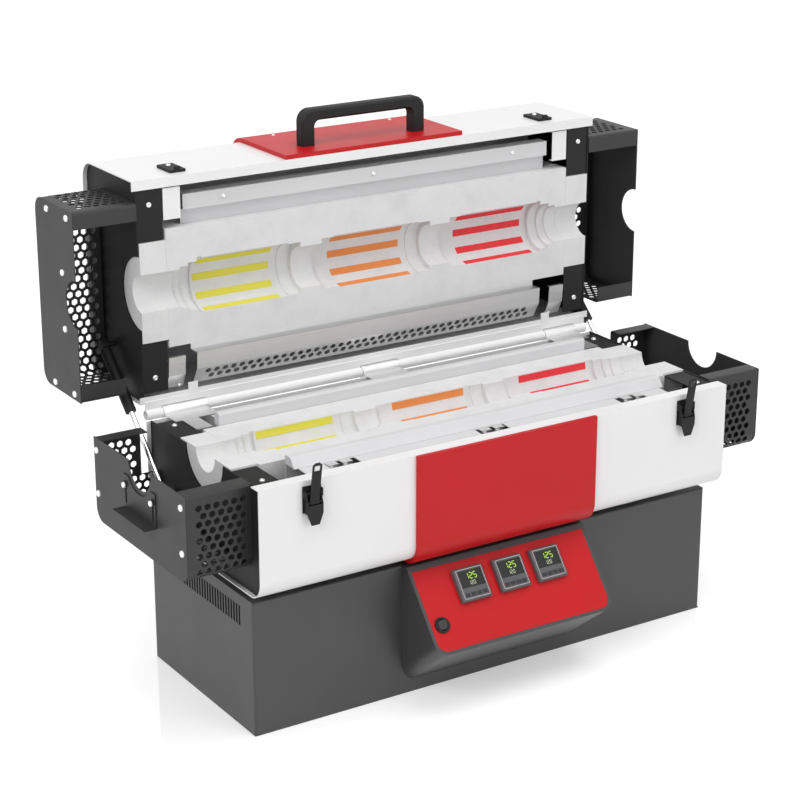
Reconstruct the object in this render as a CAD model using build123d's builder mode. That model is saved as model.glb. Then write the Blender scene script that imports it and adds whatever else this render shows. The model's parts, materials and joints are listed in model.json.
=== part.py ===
"""Three-zone split tube furnace on a control base, with its lid standing open.

X runs along the heated tube, Y towards the back and Z up. The origin is the middle of the
base's underside. Both halves of the body are drawn in one set of section coordinates: local x
runs from the tube axis towards the front of the closed furnace, and local y runs from the
parting plane into the half. A half is a Plane that places those coordinates.
"""

import os
from math import cos, radians, sin, sqrt, tan

from build123d import *

os.makedirs("parts", exist_ok=True)

# Base cabinet
base_length = 775
base_depth = 295
base_height = 197
sheet = 1.5
fit = 0.2
base_edge_radius = 3
tray_rim = 16
slot_count = 30
slot_pitch = 7.6
slot_width = 4.4
slot_height = 29
slot_top_margin = 16
cabinet_window_width = 240
cabinet_window_height = 100
cabinet_window_low = 66
inlet_width = 48
inlet_height = 28
inlet_flange = 4
inlet_depth = 22
inlet_pin_width = 2
inlet_end_inset = 87.5
inlet_z = 60

# Body halves
body_length = 786
body_reach = 161
half_height = 159
wrap_bend = 26
lip_bend = 8
front_lip_width = 14
rear_lip_width = 10
tube_y = -19.5
parting_gap = 0.5
rear_edge_drop = 3
end_plate_recess = 6
end_plate_thickness = 2
end_notch_radius = 53.5
end_cover_width = 38
end_cover_inner = 73
end_cover_inset = 14
end_cover_drop = 1

# Ceramic insulation and the chamber
block_end_inset = 49
block_depth = 112
block_front = {"lower": 78, "lid": 87}
block_rear = 83.5
end_block_reach = 72
end_block_depth = 84
chamber_radius = 38
web_radius = 31
web_inner = 94
web_outer = 129
ring_radii = [41, 35, 30.5]
ring_lengths = [7, 14, 26]
end_bore_radius = 27.3

# Heating strips
strip_count = 4
strip_width = 6
strip_thickness = 2.4
strip_end_margin = 10
strip_sink = 0.4
thermocouple_radius = 2.5
thermocouple_tip = 4

# Liners between the insulation and the casing
liner_end_inset = 88
liner_thickness = 1.2
front_liner_drop = 4
front_liner_rise = 1.5
liner_skirt = 30
rear_liner_inset = 28
rear_liner_drop = 2
notch_width = 48
notch_depth = 26
notch_spread = 0.4
lid_flange_inset = 30
lid_flange_inner = 109
lid_flange_drop = 9
vent_end_inset = 93
vent_near = 98.4
vent_bend = 124
vent_bend_rise = 1.5
vent_far_inset = 12
vent_rise = 16
vent_rows = [131, 143]
vent_hole_radius = 5.5
vent_hole_pitch = 27.7

# Red cover bands
band_half_length = 150.5
band_proud = 6.5
band_top = 1
band_far_end = {"lower": 60, "lid": -90}

# Perforated guards round the tube ends
guard_length = 96
guard_front_inset = 30.7
guard_rear_inset = 19.3
guard_depth_inset = 36
guard_far_bend = 20
guard_near_bend = 4
guard_flange = 25
guard_notch_radius = 34
strut_cut_width = 26
strut_cut_depth = 68
hole_pitch = 33
hole_radius = 14
hole_margin = 19

# Tube supports on the guards
support_width = 94
support_centre = 0.5
support_top_drop = 24
support_bottom_drop = 73
support_ledge = 20
support_vee_depth = 16
support_vee_width = 66
support_slot_reach = 40
support_slot_width = 5
support_slot_length = 31
support_slot_drop = 65
stud_radius = 2.3
stud_head_radius = 4.5
stud_head_thickness = 2.5

# Hinge
hinge_standoff = 16
hinge_tube_radius = 7.5
hinge_tube_wall = 1.8
hinge_end_inset = 7
hinge_play = 0.1
hinge_plate_top = 19.3
hinge_plate_front = 0.8
hinge_plate_sink = 0.4
hinge_tab_top = 36
hinge_tab_width = 15
hinge_tab_inset = 76.5
knuckle_ring = 2.2
knuckle_lengths = {"left": 69, "middle": 65, "right": 59}
knuckle_insets = {"left": 60.5, "right": 50.5}
middle_knuckle_x = 2.5
knuckle_gap = 0.9
leaf_reach = 26
leg_height = 20
strap_leaf_width = 25
strap_leaf_reach = 70
strap_leaf_inset = 56

# Gas struts
strut_standoff = 16
strut_pivots = {"lid": (-95, 92.5), "lower": (-89.5, 85)}
strut_stud_radius = 4
strut_play = 0.1
barrel_radius = 8
barrel_length = 112
barrel_wall = 2
rod_radius = 4
rod_play = 0.3
rod_hidden = 24
eye_radius = 8.5
eye_thickness = 10
eye_gap = 0.5

# Lid handle
handle_half_width = 105
handle_rise = 53
handle_bar = 17
handle_leg = 22
handle_depth = 20
handle_bend = 18
handle_place = 42.6
handle_edge = 3

# Latches and their keepers
latch_end_inset = 79
latch_base_width = 28
latch_base_top_drop = 8
latch_base_bottom_drop = 45
latch_plate = 1.5
lever_pivot_drop = 18
lever_pivot_out = 4.5
lever_eye_radius = 2.5
strap_pivot_drop = 30
strap_pivot_out = 7.6
latch_pin_radius = 1.5
latch_play = 0.05
ear_thickness = 1.5
ear_reach = 7
ear_height = 11
lever_width = 24
lever_tip_width = 12
lever_tip_drop = 61
lever_plate_drop = 33
lever_out = 9.5
strap_width = 14
strap_length = 59
strap_lean = 10
strap_window_width = 9
strap_window_height = 8
strap_eye_wall = 1
keeper_width = 24
keeper_near = 16
keeper_far = 57
keeper_thickness = 4
tooth_width = 8
tooth_height = 3.5
tooth_reach = 4.5

# Console on the front of the base
console_half_width = 151
console_face_out = 14.5
console_face_drop = 6
console_tilt = 38.6
console_rise = 10
console_drop = 125
console_corner = 20
console_wall = 2
panel_half_width = 146
panel_top = 1
panel_bottom = 120
panel_corner = 15
panel_thickness = 3
panel_ledge = 7
controller_size = 48
controller_proud = 9
controller_body = 44.6
controller_depth = 62
controller_drop = 37.5
controller_centres = {"left": -63.5, "middle": 3.3, "right": 67.3}
controller_edge = 2
controller_recess = 1.2
window_width = 38
window_height = 24
window_rise = 6.5
window_thickness = 0.9
button_count = 4
button_width = 7
button_height = 5
button_pitch = 9.6
button_drop = 15.5
button_proud = 0.9
button_depth = 4
button_play = 0.15
switch_x = -128.7
switch_drop = 82.6
switch_radius = 11.5
switch_barrel_radius = 9.6
switch_flange = 2
switch_depth = 18
rocker_radius = 7.5
rocker_half_width = 6.8
rocker_half_length = 6.6
rocker_gap = 0.9
rocker_side_gap = 0.4
rocker_depth = 7
rocker_foot = 2.3
rocker_hollow = 0.4
rocker_pin_radius = 1
rocker_throw = 14

# Rails between the base and the body
rail_length = 230
rail_width = 40
rail_height = 14
rail_end_inset = 117.5
rail_wall = 2

# Places that follow from the sizes above
body_bottom_z = base_height + rail_height
parting_z = body_bottom_z + half_height
body_front_y = tube_y - body_reach
body_rear_y = tube_y + body_reach
hinge_y = body_rear_y + hinge_standoff
lower_half = Plane(origin=(0, tube_y, parting_z), x_dir=(0, -1, 0), z_dir=(1, 0, 0))
lid_axis_z = parting_z + hinge_y - tube_y
lid_half = Plane(origin=(0, hinge_y, lid_axis_z), x_dir=(0, 0, 1), z_dir=(-1, 0, 0))
halves = {"lower": lower_half, "lid": lid_half}
end_plate_outer = body_length / 2 - end_plate_recess
end_plate_inner = end_plate_outer - end_plate_thickness
block_half_length = body_length / 2 - block_end_inset
chamber_half_length = block_half_length - sum(ring_lengths)
thermocouple_pitch = web_outer + chamber_half_length
liner_length = body_length - 2 * liner_end_inset
front_lip_reach = body_reach - front_lip_width
rear_lip_reach = body_reach - rear_lip_width
guard_start = end_plate_outer + fit
guard_end = end_plate_outer + guard_length
guard_front = body_reach - guard_front_inset
guard_rear = body_reach - guard_rear_inset
guard_depth = half_height - guard_depth_inset
strut_x = end_plate_outer + strut_standoff
stud_ends = {"lid": strut_x + eye_thickness / 2, "lower": strut_x - eye_thickness / 2 - eye_gap}
hinge_half_length = body_length / 2 - hinge_end_inset
knuckle_centres = {
    "left": knuckle_insets["left"] - hinge_half_length,
    "middle": middle_knuckle_x,
    "right": hinge_half_length - knuckle_insets["right"],
}
latch_x = body_length / 2 - latch_end_inset
latch_base_top = parting_z - latch_base_top_drop
latch_base_bottom = parting_z - latch_base_bottom_drop
lever_pivot_z = parting_z - lever_pivot_drop
strap_pivot_z = parting_z - strap_pivot_drop
inlet_x = base_length / 2 - inlet_end_inset
console_face_y = -base_depth / 2 - console_face_out
panel_plane = Plane(
    origin=(0, console_face_y, base_height - console_face_drop),
    x_dir=(1, 0, 0),
    z_dir=(0, -cos(radians(console_tilt)), sin(radians(console_tilt))),
)


def finish(shape, label):
    """Name a finished piece and write its file."""
    shape.label = label
    export_step(shape, f"parts/{label}.step")


def half_outline(inset=0):
    """Section of a half with the wrap's bends, moved inwards by an inset."""
    with BuildSketch() as outline:
        with Locations((0, (parting_gap + half_height) / 2)):
            Rectangle(2 * (body_reach - inset), half_height - parting_gap - 2 * inset)
        rows = outline.vertices().group_by(Axis.Y)
        fillet(rows[-1], wrap_bend - inset)
        fillet(rows[0], lip_bend - inset)
    return outline.sketch


def span(low, high, near, far):
    """Rectangle across the tube axis from low to high and from depth near to far."""
    with BuildSketch() as area:
        with Locations(((low + high) / 2, (near + far) / 2)):
            Rectangle(high - low, far - near)
    return area.sketch


# Base: folded cabinet, floor tray, back panel, inlet and rails
with BuildPart() as base_cabinet:
    with BuildSketch(Plane.XY.offset(sheet)):
        Rectangle(base_length, base_depth)
    extrude(amount=base_height - sheet)
    front = base_cabinet.faces().sort_by(Axis.Y)[0]
    top = base_cabinet.faces().sort_by(Axis.Z)[-1]
    edges = front.edges().filter_by(Axis.Z) + top.edges().sort_by(Axis.Y)[:1]
    fillet(edges, base_edge_radius)
    with BuildSketch(Plane.XY):
        with Locations((0, sheet / 2)):
            Rectangle(base_length - 2 * sheet, base_depth - sheet)
    extrude(amount=base_height - sheet, mode=Mode.SUBTRACT)
    with BuildSketch(Plane.XZ.offset(base_depth / 2)):
        with Locations((0, cabinet_window_low + cabinet_window_height / 2)):
            Rectangle(cabinet_window_width, cabinet_window_height)
    extrude(amount=-2 * sheet, mode=Mode.SUBTRACT)
    with BuildSketch(Plane.YZ.offset(-base_length / 2 - sheet)):
        with Locations((0, base_height - slot_top_margin - slot_height / 2)):
            with GridLocations(slot_pitch, slot_height, slot_count, 1):
                Rectangle(slot_width, slot_height)
    extrude(amount=3 * sheet, mode=Mode.SUBTRACT)
finish(base_cabinet.part, "base_cabinet")

tray_length = base_length - 2 * sheet - 2 * fit
tray_depth = base_depth - sheet - 2 * fit
tray_y = sheet / 2
with BuildPart() as base_floor:
    with BuildSketch():
        Rectangle(base_length, base_depth)
    extrude(amount=sheet)
    with BuildSketch(Plane.XY.offset(sheet)):
        with Locations((0, tray_y)):
            Rectangle(tray_length, tray_depth)
            Rectangle(tray_length - 2 * sheet, tray_depth - 2 * sheet, mode=Mode.SUBTRACT)
        with Locations((0, base_depth / 2)):
            Rectangle(base_length, 4 * sheet, mode=Mode.SUBTRACT)
    extrude(amount=tray_rim)
finish(base_floor.part, "base_floor")

with BuildPart() as base_back_panel:
    with BuildSketch(Plane.XZ.offset(-base_depth / 2)) as back_face:
        with Locations((0, base_height / 2)):
            Rectangle(base_length - 2 * sheet - 2 * fit, base_height - 2 * sheet - 2 * fit)
        with Locations((inlet_x, inlet_z)):
            Rectangle(inlet_width + 2 * fit, inlet_height + 2 * fit, mode=Mode.SUBTRACT)
    extrude(amount=sheet)
finish(base_back_panel.part, "base_back_panel")

with BuildPart() as mains_inlet:
    with BuildSketch(Plane.XZ.offset(-base_depth / 2)):
        with Locations((inlet_x, inlet_z)):
            Rectangle(inlet_width + 2 * inlet_flange, inlet_height + 2 * inlet_flange)
    extrude(amount=-inlet_flange / 2)
    with BuildSketch(Plane.XZ.offset(-base_depth / 2)):
        with Locations((inlet_x, inlet_z)):
            Rectangle(inlet_width, inlet_height)
    extrude(amount=inlet_depth)
    with BuildSketch(Plane.XZ.offset(-base_depth / 2 - inlet_flange / 2)):
        with Locations((inlet_x, inlet_z)):
            Rectangle(inlet_width - 2 * inlet_flange, inlet_height - 2 * inlet_flange)
    extrude(amount=inlet_depth - inlet_flange, mode=Mode.SUBTRACT)
    with BuildSketch(Plane.XZ.offset(-base_depth / 2 + inlet_depth - inlet_flange)):
        with Locations((inlet_x, inlet_z)):
            with GridLocations(inlet_width / 4, 1, 3, 1):
                Rectangle(inlet_pin_width, inlet_height / 4)
    extrude(amount=-(inlet_depth - inlet_flange) / 2)
finish(mains_inlet.part, "mains_inlet")

with BuildPart() as body_rails:
    rail_pitch = base_length - 2 * rail_end_inset
    with BuildSketch(Plane.XZ.offset(rail_length / 2)):
        with Locations((0, base_height + rail_height / 2)):
            with GridLocations(rail_pitch, rail_height, 2, 1):
                Rectangle(rail_width, rail_height)
                Rectangle(rail_width - 2 * rail_wall, rail_height - 2 * rail_wall, mode=Mode.SUBTRACT)
    extrude(amount=-rail_length)
finish(body_rails.part, "body_rails")


# Console housing, panel, controllers and switch
def face_outline(half_width, top, bottom, corner):
    """Outline on the console's sloping face, measured down the slope, with round lower corners."""
    with BuildSketch() as outline:
        with Locations((0, -(top + bottom) / 2)):
            Rectangle(2 * half_width, bottom - top)
        fillet(outline.vertices().group_by(Axis.Y)[0], corner)
    return outline.sketch


with BuildPart() as console_housing:
    reach_back = base_depth
    housing_inner = console_half_width - console_wall
    inner_corner = console_corner - console_wall
    with BuildSketch(panel_plane):
        add(face_outline(console_half_width, -console_rise, console_drop, console_corner))
    extrude(amount=-reach_back)
    with BuildSketch(panel_plane.offset(-panel_thickness - console_wall)):
        inner_top = console_wall - console_rise
        add(face_outline(housing_inner, inner_top, console_drop - console_wall, inner_corner))
    extrude(amount=-reach_back, mode=Mode.SUBTRACT)
    with BuildSketch(panel_plane):
        add(face_outline(panel_half_width + fit, panel_top - fit, panel_bottom + fit, panel_corner))
    extrude(amount=-panel_thickness, mode=Mode.SUBTRACT)
    with BuildSketch(panel_plane):
        ledge_half_width = panel_half_width - panel_ledge
        ledge_top = panel_top + panel_ledge
        ledge_bottom = panel_bottom - panel_ledge
        add(face_outline(ledge_half_width, ledge_top, ledge_bottom, panel_corner - panel_ledge))
    extrude(amount=-reach_back, mode=Mode.SUBTRACT)
    split(bisect_by=Plane.XZ.offset(base_depth / 2), keep=Keep.TOP)
    split(bisect_by=Plane.XY.offset(base_height), keep=Keep.BOTTOM)
    with BuildSketch(Plane.XY.offset(base_height)):
        with Locations((0, -base_depth / 2)):
            Rectangle(2 * console_half_width, 2 * console_face_out, align=(Align.CENTER, Align.MAX))
    extrude(amount=-console_wall)
    with BuildSketch(panel_plane):
        Rectangle(2 * reach_back, 2 * reach_back)
    extrude(amount=reach_back, mode=Mode.SUBTRACT)
finish(console_housing.part, "console_housing")

with BuildPart() as console_panel:
    with BuildSketch(panel_plane):
        add(face_outline(panel_half_width, panel_top, panel_bottom, panel_corner))
        for centre in controller_centres.values():
            with Locations((centre, -controller_drop)):
                Rectangle(controller_body + 2 * fit, controller_body + 2 * fit, mode=Mode.SUBTRACT)
        with Locations((switch_x, -switch_drop)):
            Circle(switch_barrel_radius + fit, mode=Mode.SUBTRACT)
    extrude(amount=-panel_thickness)
finish(console_panel.part, "console_panel")

button_row = [
    (button_pitch * (index - (button_count - 1) / 2), -controller_drop - button_drop)
    for index in range(button_count)
]
window_face = controller_proud - controller_recess
for side, centre in controller_centres.items():
    with BuildPart() as controller:
        with BuildSketch(panel_plane):
            with Locations((centre, -controller_drop)):
                Rectangle(controller_size, controller_size)
        extrude(amount=controller_proud)
        outer_face = controller.faces().sort_by(Axis(panel_plane.origin, panel_plane.z_dir))[-1]
        chamfer(outer_face.edges(), controller_edge)
        with BuildSketch(panel_plane):
            with Locations((centre, -controller_drop)):
                Rectangle(controller_body, controller_body)
        extrude(amount=-controller_depth)
        with BuildSketch(panel_plane.offset(controller_proud)):
            with Locations((centre, -controller_drop + window_rise)):
                Rectangle(window_width + 2 * fit, window_height + 2 * fit)
        extrude(amount=-controller_recess - window_thickness, mode=Mode.SUBTRACT)
        with BuildSketch(panel_plane.offset(controller_proud)):
            with Locations(*[(centre + along, drop) for along, drop in button_row]):
                Rectangle(button_width + 2 * button_play, button_height + 2 * button_play)
        extrude(amount=-button_depth, mode=Mode.SUBTRACT)
    finish(controller.part, f"controller_{side}")
    for index, (along, drop) in enumerate(button_row, start=1):
        with BuildPart() as button:
            with BuildSketch(panel_plane.offset(controller_proud + button_proud)):
                with Locations((centre + along, drop)):
                    Rectangle(button_width, button_height)
            extrude(amount=-button_depth)
        finish(button.part, f"button_{side}_{index}")

with BuildPart() as controller_windows:
    with BuildSketch(panel_plane.offset(window_face)):
        for centre in controller_centres.values():
            with Locations((centre, -controller_drop + window_rise)):
                Rectangle(window_width, window_height)
    extrude(amount=-window_thickness)
finish(controller_windows.part, "controller_windows")

switch_plane = Plane(
    origin=panel_plane.from_local_coords((switch_x, -switch_drop, 0)),
    x_dir=panel_plane.x_dir,
    z_dir=panel_plane.z_dir,
)
switch_side = Plane(origin=switch_plane.origin, x_dir=switch_plane.y_dir, z_dir=switch_plane.x_dir)
pocket_half_width = rocker_half_width + rocker_side_gap
with BuildPart() as switch_bezel:
    with BuildSketch(switch_plane):
        Circle(switch_radius)
    extrude(amount=switch_flange)
    with BuildSketch(switch_plane):
        Circle(switch_barrel_radius)
    extrude(amount=-switch_depth)
    with BuildSketch(switch_plane.offset(switch_flange)):
        Circle(rocker_radius + rocker_gap)
        Rectangle(2 * pocket_half_width, 2 * switch_radius, mode=Mode.INTERSECT)
    extrude(amount=-rocker_depth, mode=Mode.SUBTRACT)
    for side in (-1, 1):
        with BuildSketch(switch_side.offset(side * pocket_half_width)):
            Circle(rocker_pin_radius)
        extrude(amount=-side * rocker_half_width / 2)
finish(switch_bezel.part, "switch_bezel")

with BuildPart() as switch_rocker:
    rocker_rise = 2 * rocker_half_length * tan(radians(rocker_throw / 2))
    foot_half_length = rocker_half_length - rocker_foot / 2
    with BuildSketch(switch_side):
        with BuildLine():
            low = (-rocker_half_length, switch_flange)
            high = (rocker_half_length, switch_flange + rocker_rise)
            ThreePointArc(low, (0, switch_flange + rocker_rise / 2 - rocker_hollow), high)
            Polyline(high, (foot_half_length, -rocker_foot), (-foot_half_length, -rocker_foot), low)
        make_face()
    extrude(amount=rocker_half_width, both=True)
    with BuildSketch(switch_plane.offset(-rocker_depth)):
        Circle(rocker_radius)
    extrude(amount=3 * rocker_depth, mode=Mode.INTERSECT)
    with BuildSketch(switch_side):
        Circle(rocker_pin_radius + hinge_play)
    extrude(amount=rocker_half_width, both=True, mode=Mode.SUBTRACT)
finish(switch_rocker.part, "switch_rocker")


# Wrap, end plates, insulation, liners and bands, made alike for both halves
def make_casing(half):
    """Folded wrap of a half, with inward lips at the parting plane."""
    with BuildPart() as wrap:
        with BuildSketch(halves[half]):
            add(half_outline())
            add(half_outline(sheet), mode=Mode.SUBTRACT)
            if half == "lid":
                opening = span(-rear_lip_reach, front_lip_reach, 0, 2 * sheet)
            else:
                opening = span(-2 * body_reach, front_lip_reach - end_plate_recess, 0, rear_edge_drop)
            add(opening, mode=Mode.SUBTRACT)
        extrude(amount=body_length / 2, both=True)
    return wrap.part


def make_end_plates(half):
    """Recessed end plates with a tube notch and a folded cover over each end gap."""
    plane = halves[half]
    inset = sheet + fit
    near = parting_gap + inset + end_cover_drop
    cover_outer = body_reach - end_cover_inset
    with BuildPart() as plates:
        for side in (-1, 1):
            with BuildSketch(plane.offset(side * end_plate_inner)):
                add(half_outline(inset))
                Circle(end_notch_radius, mode=Mode.SUBTRACT)
            extrude(amount=side * end_plate_thickness)
            with BuildSketch(plane.offset(side * end_plate_outer)):
                for low in (-cover_outer, end_cover_inner):
                    add(span(low, low + cover_outer - end_cover_inner, near, near + sheet))
            extrude(amount=-side * (end_cover_width + end_plate_thickness))
            with BuildSketch(plane.offset(side * end_plate_outer)):
                with Locations(strut_pivots[half]):
                    Circle(strut_stud_radius)
            extrude(amount=side * (stud_ends[half] - end_plate_outer))
    return plates.part


def chamber_steps():
    """Radius of the bore along the middle block: pairs of end position and radius."""
    end = chamber_half_length
    steps = [(web_inner, chamber_radius), (web_outer, web_radius), (end, chamber_radius)]
    for radius, length in zip(ring_radii, ring_lengths):
        end += length
        steps.append((end, radius))
    return steps


def strip_zones():
    """Start and end along the tube of each of the three heated zones."""
    outer = (web_outer + strip_end_margin, chamber_half_length - strip_end_margin)
    inner = web_inner - strip_end_margin
    return [(-outer[1], -outer[0]), (-inner, inner), outer]


def strip_bodies(plane, clearance=0):
    """Heating strips lying in the chamber wall, or the larger bodies of their grooves."""
    middle = chamber_radius - strip_sink + strip_thickness / 2
    first = 90 / strip_count
    with BuildPart() as strips:
        for start, end in strip_zones():
            with BuildSketch(plane.offset(start - clearance)):
                with PolarLocations(middle, strip_count, first, angular_range=180, endpoint=False):
                    Rectangle(strip_thickness + 2 * clearance, strip_width + 2 * clearance)
            extrude(amount=end - start + 2 * clearance)
    return strips.part


def make_insulation(half):
    """Ceramic block with the stepped half chamber and the grooves of its heating strips."""
    plane = halves[half]
    along = Plane(origin=plane.origin, x_dir=plane.z_dir, z_dir=plane.x_dir * -1)
    with BuildPart() as block:
        with BuildSketch(plane):
            add(span(-block_rear, block_front[half], parting_gap, block_depth))
        extrude(amount=block_half_length, both=True)
        with BuildSketch(along):
            with BuildLine() as profile:
                points = [(0, 0)]
                start = 0
                for end, radius in chamber_steps():
                    points += [(start, radius), (end, radius)]
                    start = end
                points.append((start, 0))
                Polyline(*points, close=True)
            make_face()
            mirror(about=Plane.YZ)
        revolve(axis=Axis(plane.origin, plane.z_dir), mode=Mode.SUBTRACT)
        add(strip_bodies(plane, fit), mode=Mode.SUBTRACT)
        if half == "lower":
            with BuildSketch(Plane.XY.offset(parting_z - block_depth - sheet)):
                with Locations((0, tube_y)):
                    with GridLocations(thermocouple_pitch, 1, 2, 1):
                        Circle(thermocouple_radius + fit)
                    Circle(thermocouple_radius + fit)
            extrude(amount=block_depth, mode=Mode.SUBTRACT)
    return block.part


def make_end_blocks(half):
    """Smaller ceramic blocks that close the ends round the process tube."""
    plane = halves[half]
    with BuildPart() as blocks:
        for side in (-1, 1):
            with BuildSketch(plane.offset(side * (block_half_length + fit))):
                add(span(-end_block_reach, end_block_reach, parting_gap, end_block_depth))
                Circle(end_bore_radius, mode=Mode.SUBTRACT)
            extrude(amount=side * (end_plate_inner - block_half_length - 2 * fit))
    return blocks.part


def bent_strip(points, side):
    """Thin folded section along a few points, thickened to one side."""
    with BuildSketch() as section:
        with BuildLine():
            Polyline(*points)
            offset(amount=liner_thickness, side=side, kind=Kind.INTERSECTION)
        make_face()
    return section.sketch


def make_lower_liners():
    """Sloping front liner with three notches, and the flat rear liner."""
    inner = block_front["lower"] + fit
    outer = front_lip_reach - end_plate_recess
    rear_inner = -block_rear - fit
    with BuildPart() as liners:
        with BuildSketch(lower_half):
            front_points = [(outer, front_liner_drop), (inner, front_liner_rise), (inner, liner_skirt)]
            add(bent_strip(front_points, Side.RIGHT))
            rear_points = [(rear_liner_inset - body_reach, rear_liner_drop), (rear_inner, rear_liner_drop)]
            add(bent_strip(rear_points + [(rear_inner, liner_skirt)], Side.LEFT))
        extrude(amount=liner_length / 2, both=True)
        with BuildSketch(Plane.XY.offset(parting_z)):
            with Locations((0, tube_y - outer)):
                with GridLocations(notch_spread * liner_length, 1, 3, 1):
                    Rectangle(notch_width, 2 * notch_depth)
        extrude(amount=-3 * front_liner_drop, mode=Mode.SUBTRACT)
    return liners.part


def make_lid_liners():
    """Recessed front liner of the lid and the folded, perforated vent strip by the hinge."""
    inner = block_front["lid"] + fit
    step_drop = 2 * lid_flange_drop
    flange_far = body_reach - lid_flange_inset
    vent_far = body_reach - vent_far_inset
    vent_length = body_length - 2 * vent_end_inset
    with BuildPart() as liners:
        with BuildSketch(lid_half):
            step = [(inner, liner_skirt), (inner, step_drop), (lid_flange_inner, step_drop)]
            flange = [(lid_flange_inner, lid_flange_drop), (flange_far, lid_flange_drop)]
            add(bent_strip(step + flange + [(flange_far, liner_skirt)], Side.LEFT))
            corner = (-block_rear - fit, rear_liner_drop)
            bend = (-vent_bend, rear_liner_drop + vent_bend_rise)
            far = (-vent_far, rear_liner_drop + vent_rise)
            foot = (corner[0], liner_skirt)
            add(bent_strip([foot, corner, (-vent_near, rear_liner_drop), bend, far], Side.RIGHT))
        extrude(amount=vent_length / 2, both=True)
        count = int(vent_length / vent_hole_pitch) - 1
        with BuildSketch(Plane.XZ.offset(-hinge_y)):
            for side, row in zip((-1, 1), vent_rows):
                with Locations((side * vent_hole_pitch / 4, lid_axis_z - row)):
                    with GridLocations(vent_hole_pitch, 1, count, 1):
                        RegularPolygon(vent_hole_radius, 6)
        extrude(amount=-2 * vent_rise - rear_liner_drop, mode=Mode.SUBTRACT)
    return liners.part


def make_band(half):
    """Raised cover band folded over the middle of the wrap, with closed edges."""
    plane = halves[half]
    low_end = band_far_end[half]

    def ring(outer_inset, inner_inset, top, end):
        with BuildSketch() as section:
            add(half_outline(outer_inset))
            add(half_outline(inner_inset), mode=Mode.SUBTRACT)
            add(span(-2 * body_reach, 2 * body_reach, -band_proud, top), mode=Mode.SUBTRACT)
            add(span(-2 * body_reach, end, 0, 2 * half_height), mode=Mode.SUBTRACT)
        return section.sketch

    with BuildPart() as band:
        with BuildSketch(plane):
            add(ring(-band_proud, -fit, band_top, low_end))
        extrude(amount=band_half_length, both=True)
        with BuildSketch(plane):
            add(ring(sheet - band_proud, 0, band_top + sheet, low_end + sheet))
        extrude(amount=band_half_length - sheet, both=True, mode=Mode.SUBTRACT)
    return band.part


for half_name in halves:
    finish(make_casing(half_name), f"{half_name}_casing")
    finish(make_end_plates(half_name), f"{half_name}_end_plates")
    finish(make_insulation(half_name), f"{half_name}_insulation")
    finish(make_end_blocks(half_name), f"{half_name}_end_blocks")
    finish(strip_bodies(halves[half_name]), f"{half_name}_elements")
    finish(make_band(half_name), f"{half_name}_band")
finish(make_lower_liners(), "lower_liners")
finish(make_lid_liners(), "lid_liners")

with BuildPart() as thermocouples:
    tip_z = parting_z - chamber_radius + thermocouple_tip
    with BuildSketch(Plane.XY.offset(parting_z - half_height + sheet)):
        with Locations((0, tube_y)):
            with GridLocations(thermocouple_pitch, 1, 2, 1):
                Circle(thermocouple_radius)
            Circle(thermocouple_radius)
    extrude(amount=tip_z - parting_z + half_height - sheet)
finish(thermocouples.part, "thermocouples")


# Guards
def guard_outline(inset=0):
    """Section of a guard: an open box with larger bends at its far corners."""
    with BuildSketch() as outline:
        with Locations(((guard_front - guard_rear) / 2, (parting_gap + guard_depth) / 2)):
            width = guard_front + guard_rear - 2 * inset
            Rectangle(width, guard_depth - parting_gap - 2 * inset)
        rows = outline.vertices().group_by(Axis.Y)
        fillet(rows[-1], guard_far_bend - inset)
        fillet(rows[0], guard_near_bend - inset)
    return outline.sketch


def hole_field(length, width):
    """Staggered field of hexagonal holes centred on the sketch, length by width."""
    row_step = hole_pitch * sqrt(3) / 2
    rows = 2 * int((length / 2 - hole_margin) / row_step) + 1
    with BuildSketch() as field:
        for row in range(rows):
            offset_along = (row - (rows - 1) / 2) * row_step
            count = int((width - 2 * hole_margin) / hole_pitch) + 1 - row % 2
            with Locations((offset_along, 0)):
                with GridLocations(1, hole_pitch, 1, count):
                    RegularPolygon(hole_radius, 6)
    return field.sketch


def make_guards(half, sides):
    """Perforated guards at the given ends, notched near the body for the gas struts."""
    plane = halves[half]
    with BuildPart() as guards:
        for side in sides:
            with BuildSketch(plane.offset(side * guard_start)):
                add(guard_outline())
                add(guard_outline(sheet), mode=Mode.SUBTRACT)
                opening = span(guard_flange - guard_rear, guard_front - guard_flange, 0, 2 * sheet)
                add(opening, mode=Mode.SUBTRACT)
            extrude(amount=side * (guard_end - guard_start - sheet - fit))
            with BuildSketch(plane.offset(side * guard_start)):
                add(span(-2 * guard_rear, guard_flange - guard_rear + sheet, 0, strut_cut_depth))
            extrude(amount=side * strut_cut_width, mode=Mode.SUBTRACT)
            middle = side * (guard_start + guard_end) / 2
            centre = (guard_front - guard_rear) / 2
            far_plane = Plane(
                origin=plane.from_local_coords((centre, guard_depth + sheet, middle)),
                x_dir=plane.x_dir,
                z_dir=plane.y_dir * -1,
            )
            with BuildSketch(far_plane):
                add(hole_field(guard_front + guard_rear - 2 * guard_far_bend, guard_length))
            extrude(amount=3 * sheet, mode=Mode.SUBTRACT)
            depth = (guard_flange + guard_depth - guard_far_bend) / 2
            for reach, direction in ((guard_front, 1), (-guard_rear, -1)):
                wall_plane = Plane(
                    origin=plane.from_local_coords((reach + direction * sheet, depth, middle)),
                    x_dir=plane.y_dir,
                    z_dir=plane.x_dir * -direction,
                )
                with BuildSketch(wall_plane):
                    add(hole_field(guard_depth - guard_flange, guard_length))
                extrude(amount=3 * sheet, mode=Mode.SUBTRACT)
    return guards.part


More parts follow.
